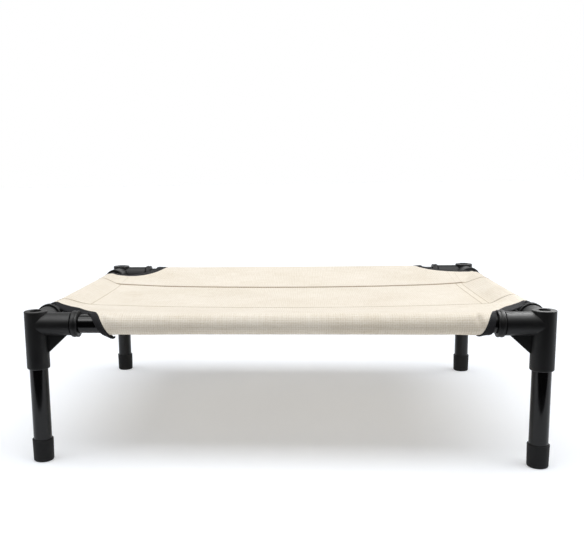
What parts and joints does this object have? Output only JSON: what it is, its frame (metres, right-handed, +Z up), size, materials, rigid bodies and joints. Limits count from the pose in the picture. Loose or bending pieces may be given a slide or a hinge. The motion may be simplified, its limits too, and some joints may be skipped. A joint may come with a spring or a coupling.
{
  "type": "raised dog bed",
  "caption": "Raised pet cot with push-fit black tube legs and rails, moulded corner connectors, rubber feet and a cream canvas cover sewn round the rails.",
  "frame": {"origin": "on the floor under the middle of the bed", "axes": "+X along the length, +Y from the front to the back, +Z up"},
  "size_m": [0.604, 0.454, 0.18],
  "materials": {
    "connector_plastic": "fine-grained moulded black",
    "tube_enamel": "gloss black enamel on steel",
    "foot_rubber": "matt black",
    "canvas": "cream plain-weave canvas",
    "binding_tape": "black woven tape"
  },
  "bodies": {
    "root": {"corner_connector_front_left": "connector_plastic", "leg_tube_front_left": "tube_enamel", "foot_cap_front_left": "foot_rubber", "corner_binding_front_left": "binding_tape", "corner_connector_front_right": "connector_plastic", "leg_tube_front_right": "tube_enamel", "foot_cap_front_right": "foot_rubber", "corner_binding_front_right": "binding_tape", "corner_connector_back_left": "connector_plastic", "leg_tube_back_left": "tube_enamel", "foot_cap_back_left": "foot_rubber", "corner_binding_back_left": "binding_tape", "corner_connector_back_right": "connector_plastic", "leg_tube_back_right": "tube_enamel", "foot_cap_back_right": "foot_rubber", "corner_binding_back_right": "binding_tape", "front_rail": "tube_enamel", "front_sleeve": "canvas", "back_rail": "tube_enamel", "back_sleeve": "canvas", "left_rail": "tube_enamel", "left_sleeve": "canvas", "right_rail": "tube_enamel", "right_sleeve": "canvas", "sleeping_panel": "canvas"}
  },
  "joints": []
}
